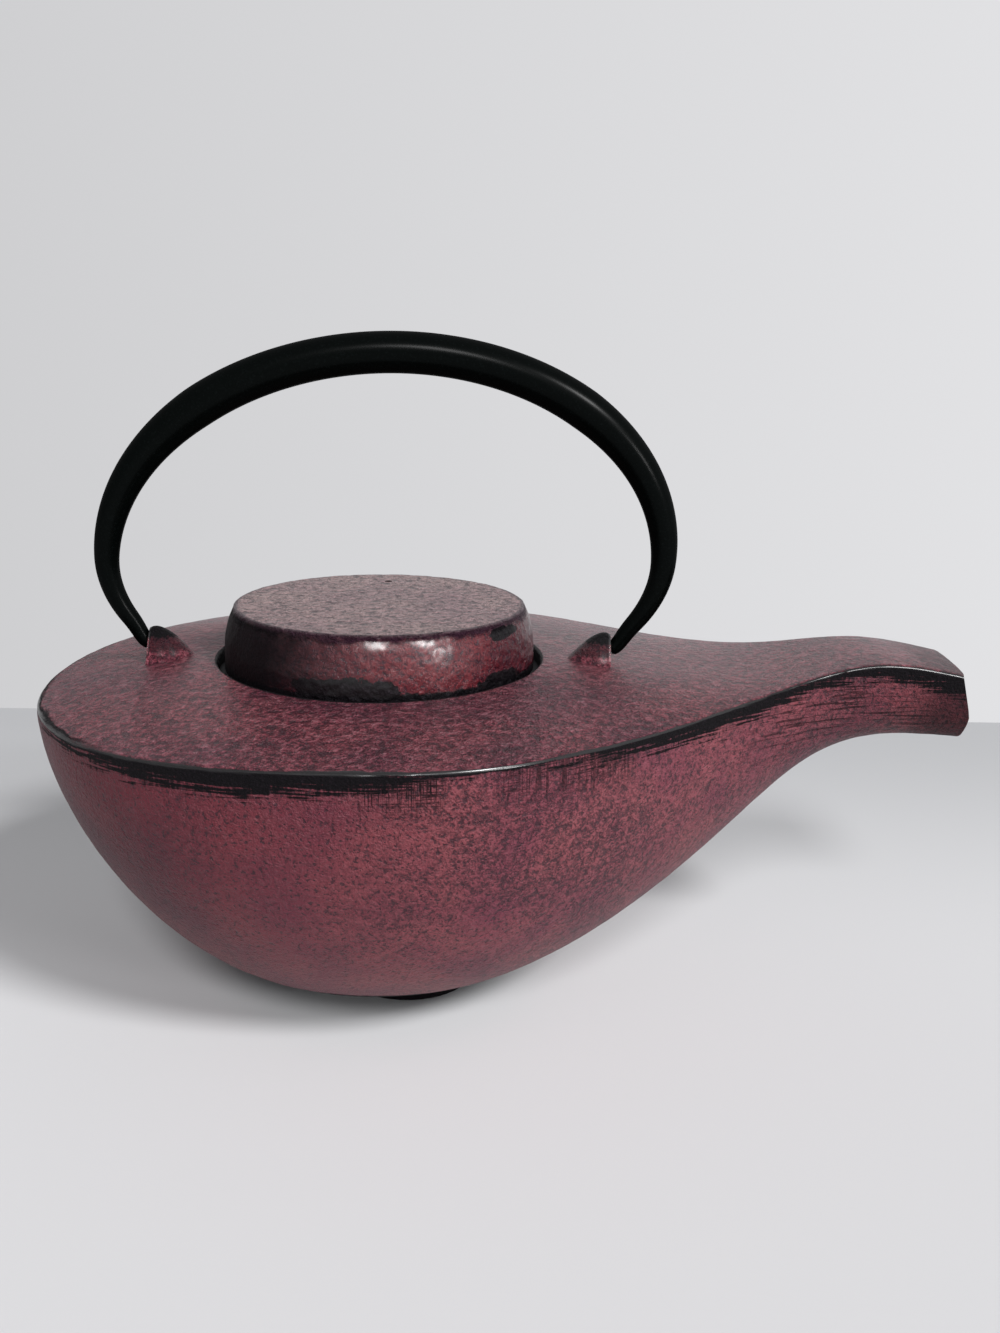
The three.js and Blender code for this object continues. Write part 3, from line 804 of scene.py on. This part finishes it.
def tree_with(name, inputs):
    """An empty node tree for a modifier, with its own named inputs."""
    tree = bpy.data.node_groups.new(name, "GeometryNodeTree")
    tree.interface.new_socket("Geometry", in_out="INPUT", socket_type="NodeSocketGeometry")
    tree.interface.new_socket("Geometry", in_out="OUTPUT", socket_type="NodeSocketGeometry")
    for label, (kind, _) in inputs.items():
        tree.interface.new_socket(label, in_out="INPUT", socket_type=kind)
    recipe = Recipe(tree)
    group = tree.nodes.new("NodeGroupInput")
    return recipe, {socket.name: Mark(recipe, socket) for socket in group.outputs if socket.name}


def made_by(recipe, result, shape, inputs):
    """Runs the tree on the shape and keeps the outcome as its plain mesh."""
    recipe.ends_in("NodeGroupOutput", result)
    step = shape.modifiers.new("made", "NODES")
    step.node_group = recipe.tree
    for item in recipe.tree.interface.items_tree:
        if item.item_type == "SOCKET" and item.in_out == "INPUT" and item.name in inputs:
            step[item.identifier] = inputs[item.name][1]
    settle(shape)


number, whole = "NodeSocketFloat", "NodeSocketInt"
gauze_inputs = {
    "Warp radius": (number, (GAUZE_INNER + WIRE) * MM),
    "Weft radius": (number, (GAUZE_OUTER - WIRE) * MM),
    "Wire": (number, WIRE * MM),
    "Bottom": (number, (STRAINER_BOTTOM + SHEET) * MM),
    "Top": (number, LEDGE_TOP * MM),
    "Warp count": (whole, WARP_COUNT),
    "Weft count": (whole, int((LEDGE_TOP - STRAINER_BOTTOM - SHEET) / WEFT_PITCH)),
}
weave, given = tree_with("woven_gauze", gauze_inputs)
round_wire = weave.node("GeometryNodeCurvePrimitiveCircle", None, {
    "Resolution": WIRE_SIDES, "Radius": given["Wire"]})
hoop = weave.node("GeometryNodeCurvePrimitiveCircle", None, {
    "Resolution": HOOP_SIDES, "Radius": given["Weft radius"]})
hoop_wire = weave.node("GeometryNodeCurveToMesh", None, {
    "Curve": hoop, "Profile Curve": round_wire})
first_hoop = weave.node("ShaderNodeCombineXYZ", None, {"Z": given["Bottom"] + given["Wire"]})
last_hoop = weave.node("ShaderNodeCombineXYZ", None, {"Z": given["Top"] - given["Wire"]})
stack = weave.node("GeometryNodeMeshLine", {"mode": "END_POINTS"}, {
    "Count": given["Weft count"], "Start Location": first_hoop, "Offset": last_hoop})
weft = weave.node("GeometryNodeInstanceOnPoints", None, {"Points": stack, "Instance": hoop_wire})
foot_at = weave.node("ShaderNodeCombineXYZ", None, {"Z": given["Bottom"]})
head_at = weave.node("ShaderNodeCombineXYZ", None, {"Z": given["Top"]})
upright = weave.node("GeometryNodeCurvePrimitiveLine", None, {"Start": foot_at, "End": head_at})
upright_wire = weave.node("GeometryNodeCurveToMesh", None, {
    "Curve": upright, "Profile Curve": round_wire, "Fill Caps": True})
ring = weave.node("GeometryNodeMeshCircle", None, {
    "Vertices": given["Warp count"], "Radius": given["Warp radius"]})
warp = weave.node("GeometryNodeInstanceOnPoints", None, {"Points": ring, "Instance": upright_wire})
wires = weave.tree.nodes.new("GeometryNodeJoinGeometry")
for strand in (warp, weft):
    weave.tree.links.new(strand.socket, wires.inputs[0])
solid_wires = weave.node("GeometryNodeRealizeInstances", None, {0: Mark(weave, wires.outputs[0])})
wire_steel = sheet_steel("wire_steel")
steeled = weave.node("GeometryNodeSetMaterial", None, {
    "Geometry": solid_wires, "Material": wire_steel})
gauze = placed("gauze", bpy.data.meshes.new("gauze"))
made_by(weave, steeled, gauze, gauze_inputs)
dressed(gauze, [wire_steel], "strainer_gauze", "strainer")

# The lid is a hollow cast drum with a flat top and a skirt that drops inside the strainer's collar.
# It has one small vent hole, and the same lacquer as the body, worn black along its foot.

LID_TOP_RADIUS, LID_FOOT_RADIUS, LID_TOP = 43, 44.2, 115
LID_TUCK, LID_ROUNDING, LID_WALL, LID_SWELL = 1.4, 1.2, 3, 3
LID_SINK, LID_FOOT_BEVEL = 1.2, 0.7
SKIRT_RADIUS, SKIRT_BOTTOM, SKIRT_BEVEL = 36.2, 90.3, 0.4
VENT_RADIUS, VENT_OFFSET, VENT_DEPTH = 1.1, 30, 8
LID_SIDES, SIDE_STEPS, ROUNDING_STEPS, TOP_STEPS = 480, 32, 9, 26
# The cast skin has lumps of two sizes. Each has its depth and its breadth
LID_DENTS = [(0.16, 4.0), (0.09, 1.8)]

up_side = np.linspace(0, 1, SIDE_STEPS)
edge_turn = np.linspace(0, math.pi / 2, ROUNDING_STEPS)
shoulder = LID_TOP_RADIUS - LID_TUCK
side_foot, side_head = DECK_HEIGHT - LID_SINK, LID_TOP - LID_ROUNDING
foot_to_edge = np.stack([
    LID_FOOT_RADIUS - (LID_FOOT_RADIUS - shoulder) * up_side ** LID_SWELL,
    side_foot + (side_head - side_foot) * up_side], axis=-1)
rounded_edge = np.stack([
    shoulder - LID_ROUNDING * (1 - np.cos(edge_turn)),
    LID_TOP - LID_ROUNDING * (1 - np.sin(edge_turn))], axis=-1)
flat_top = np.linspace((shoulder - LID_ROUNDING, LID_TOP), (0, LID_TOP), TOP_STEPS)
hollow, skirt_inside = LID_TOP_RADIUS - LID_WALL, SKIRT_RADIUS - LID_WALL
lid_inside = np.array([
    (0, LID_TOP - LID_WALL), (hollow - LID_WALL, LID_TOP - LID_WALL),
    (hollow, LID_TOP - 2 * LID_WALL), (hollow, DECK_HEIGHT + LID_WALL),
    (skirt_inside, DECK_HEIGHT - LID_WALL), (skirt_inside, SKIRT_BOTTOM + SKIRT_BEVEL),
    (skirt_inside + SKIRT_BEVEL, SKIRT_BOTTOM), (SKIRT_RADIUS - SKIRT_BEVEL, SKIRT_BOTTOM),
    (SKIRT_RADIUS, SKIRT_BOTTOM + SKIRT_BEVEL), (SKIRT_RADIUS, COLLAR_TOP),
    (LID_FOOT_RADIUS - LID_FOOT_BEVEL, COLLAR_TOP),
    (LID_FOOT_RADIUS, COLLAR_TOP + LID_FOOT_BEVEL)], float)
lid_profile = np.concatenate([lid_inside, foot_to_edge, rounded_edge[1:], flat_top[1:]])
lid = turned("lid_drum", lid_profile, LID_SIDES)
for depth, breadth in LID_DENTS:
    dented(lid, depth, breadth)
vent_foot = (0, VENT_OFFSET, LID_TOP - VENT_DEPTH)
worked(lid, rod("vent", VENT_RADIUS, vent_foot, DRILL_LENGTH, Matrix.Identity(4)), "DIFFERENCE")

LID_REDS = (0.048, 0.0045, 0.009), (0.080, 0.008, 0.013)
LID_TOP_SHEEN_REDS = (0.295, 0.178, 0.190), (0.370, 0.248, 0.238)
TOP_EDGE_REDS = (0.016, 0.006, 0.016), (0.022, 0.007, 0.018)
SIDE_SHEEN_REDS = (0.13, 0.013, 0.019), (0.17, 0.024, 0.030)
# Each worn patch has its place along X, its height, its half width and its half height
WORN_PATCHES = [(-6, 100.5, 15, 3.6), (34, 100.0, 6, 2.5), (35, 112, 4, 1.6)]
SIDE_SHEEN_PLACE, SIDE_SHEEN_HALF_WIDTH, GLEAM_END = 16, 22, 22
FOOT_WEAR, TOP_EDGE_FOOT, FLAT_TOP, SHADED_TOP = 100.1, 112, 114.2, 114.4
TOP_EDGE_RADIUS = 41.0

lid_coat = Finish("lid_iron")
lid_x, lid_y, lid_z = lid_coat.along(0), lid_coat.along(1), lid_coat.along(2)
from_middle = (lid_x ** 2 + lid_y ** 2) ** 0.5
nearwards = -lid_y
ragged = lid_coat.grain(5, detail=5.0, rough=0.65)


def worn_patch(x, z, half_wide, half_tall):
    """A patch on the lid's front where the lacquer has gone."""
    across, up = (lid_x - x) / half_wide, (lid_z - z) / half_tall
    inside = 1.0 - (across * across + up * up)
    return (inside + ragged.waver(3.2)).rises(0, 0.12) * nearwards.rises(5, 12)


foot_wear = lid_z.within(FOOT_WEAR + ragged.waver(4), 0.8)
patches = any_of([worn_patch(*patch) for patch in WORN_PATCHES])
# The lid's left side is painted as bare black iron: painted shade.
painted_shade = (ragged.waver(18) - lid_x - 5).rises(0, 24) * lid_z.within(SHADED_TOP, 1) * 0.95
on_top = (lid_z - FLAT_TOP).rises(0, 0.7)
top_edge = abs(from_middle - TOP_EDGE_RADIUS).within(1.2 + ragged.waver(2.5), 0.8)
top_edge = top_edge * (lid_z - TOP_EDGE_FOOT).rises(0, 1)
lacquered = (1 - on_top) * (1 - top_edge)
# On the front of the lid's side, right of the middle, a brighter red is painted: a painted
# highlight.
side_sheen = (1.0 - ((lid_x - SIDE_SHEEN_PLACE) / SIDE_SHEEN_HALF_WIDTH) ** 2 + ragged.waver(2)).rises(0, 1)
side_sheen = side_sheen * nearwards.rises(20, 36) * lacquered * 0.6
gleam = lacquered * (1 - painted_shade)
# The flat top is painted a pale grey-mauve: painted sheen, the wall's reflection in it, over the
# red.
reds = blend_reds(lid_coat, on_top, LID_REDS, LID_TOP_SHEEN_REDS)
reds = blend_reds(lid_coat, top_edge * 0.85, reds, TOP_EDGE_REDS)
reds = blend_reds(lid_coat, side_sheen, reds, SIDE_SHEEN_REDS)
lid_iron = lacquer(
    lid_coat, reds, any_of([foot_wear, patches, painted_shade]), 0.45, sheen_flecks=on_top * 0.22,
    coarse=on_top * 0.6, relief=2.4 - lacquered * 1.8, polish=on_top * 0.45 + gleam * 0.85,
    varnish=on_top * 0.16 + gleam * (0.85 - (lid_x - GLEAM_END).rises(0, 12) * 0.65), shine=0.15)
dressed(lid, [lid_iron], "lid", "lid")

# The handle is one bow of round iron, forged thick at the grip and drawn down to a thin peg at each
# end. The pegs are sprung into the ears. It is lacquered smooth black.

BOW_HALF_SPAN, BOW_RISE, BOW_WAIST, BOW_TUCK, BOW_LEAN = 78.8, 82.4, 25, 44, 0.06
GRIP_RADIUS, END_RADIUS, TAPER_LENGTH, TAPER_FULLNESS = 5.7, 2.1, 80, 1.15
TURN_IN = math.radians(24)
BEND_LEAD, BEND_PULL, BEND_END = 5.5, 68.2, 65.9
PEG_RADIUS, PEG_LENGTH = 1.7, 5.1
PEG_STATIONS = (64.5, 63, 61.5)
BOW_STEPS, BEND_STEPS, BOW_SIDES = 150, 14, 40
NUDGE = 0.01
HANDLE_BLACK, HANDLE_DUSTY = (0.0006, 0.0011, 0.0010), (0.002, 0.003, 0.003)


def bow_point(turn):
    rise = np.where(np.sin(turn) > 0, BOW_RISE - BOW_WAIST, BOW_TUCK) * np.sin(turn)
    up = BOW_WAIST + rise
    return np.stack([BOW_HALF_SPAN * np.cos(turn) + BOW_LEAN * up, up], axis=-1)


def turned_in(side):
    """The end of the bow, bent level into its peg."""
    turn = -TURN_IN if side > 0 else math.pi + TURN_IN
    start = bow_point(np.array(turn))
    ahead = start - bow_point(np.array(turn + side * NUDGE))
    lead = start + BEND_LEAD * ahead / np.linalg.norm(ahead)
    pull, end = np.array((side * BEND_PULL, 0)), np.array((side * BEND_END, 0))
    t = np.linspace(0, 1, BEND_STEPS)[1:, None]
    bend = ((1 - t) ** 3 * start + 3 * t * (1 - t) ** 2 * lead
            + 3 * t ** 2 * (1 - t) * pull + t ** 3 * end)
    return np.concatenate([bend, [(side * station, 0) for station in PEG_STATIONS]])


arch = bow_point(np.linspace(-TURN_IN, math.pi + TURN_IN, BOW_STEPS))
path = np.concatenate([turned_in(1)[::-1], arch, turned_in(-1)])
centre_line = bpy.data.meshes.new("handle_line")
centre_line.from_pydata(
    [(x * MM, 0, (PEG_AXIS + up) * MM) for x, up in path],
    [(i, i + 1) for i in range(len(path) - 1)], [])
handle = placed("bow_handle", centre_line)

bow_inputs = {
    "Grip radius": (number, GRIP_RADIUS * MM),
    "End radius": (number, END_RADIUS * MM),
    "Peg radius": (number, PEG_RADIUS * MM),
    "Peg length": (number, PEG_LENGTH * MM),
    "Taper length": (number, TAPER_LENGTH * MM),
    "Taper fullness": (number, TAPER_FULLNESS),
    "Sides": (whole, BOW_SIDES),
}
forge, given = tree_with("forged_bow", bow_inputs)
line = forge.node("GeometryNodeMeshToCurve", None, {"Mesh": given["Geometry"]})
so_far = forge.node("GeometryNodeSplineParameter", out="Length")
whole_way = forge.node("GeometryNodeSplineLength", out="Length")
from_end = so_far.least(whole_way - so_far) - given["Peg length"]
share = (from_end / given["Taper length"]).least(1.0).most(0.0)
swell = 1 - (1 - share) ** given["Taper fullness"]
drawn = given["End radius"] + (given["Grip radius"] - given["End radius"]) * swell
is_peg = from_end < 0.0
thickness = drawn + is_peg * (given["Peg radius"] - drawn)
section = forge.node("GeometryNodeCurvePrimitiveCircle", None, {
    "Resolution": given["Sides"], "Radius": 1.0})
bar = forge.node("GeometryNodeCurveToMesh", None, {
    "Curve": line, "Profile Curve": section, "Scale": thickness, "Fill Caps": True})
black = Finish("black_iron")
hammered, pits = black.grain(7, detail=2.0), black.grain(0.6)
black_iron = black.surface(
    hammered + pits * 0.05, 0.12,
    Base_Color=black.blend(pits.rises(0.5, 0.8), HANDLE_BLACK, HANDLE_DUSTY),
    Roughness=0.4, Specular_IOR_Level=0.0, Coat_Weight=0.09, Coat_Roughness=0.24)
solid_bar = forge.node("GeometryNodeRealizeInstances", None, {0: bar})
painted = forge.node("GeometryNodeSetMaterial", None, {
    "Geometry": solid_bar, "Material": black_iron})
made_by(forge, painted, handle, bow_inputs)
dressed(handle, [black_iron], "handle", "handle")
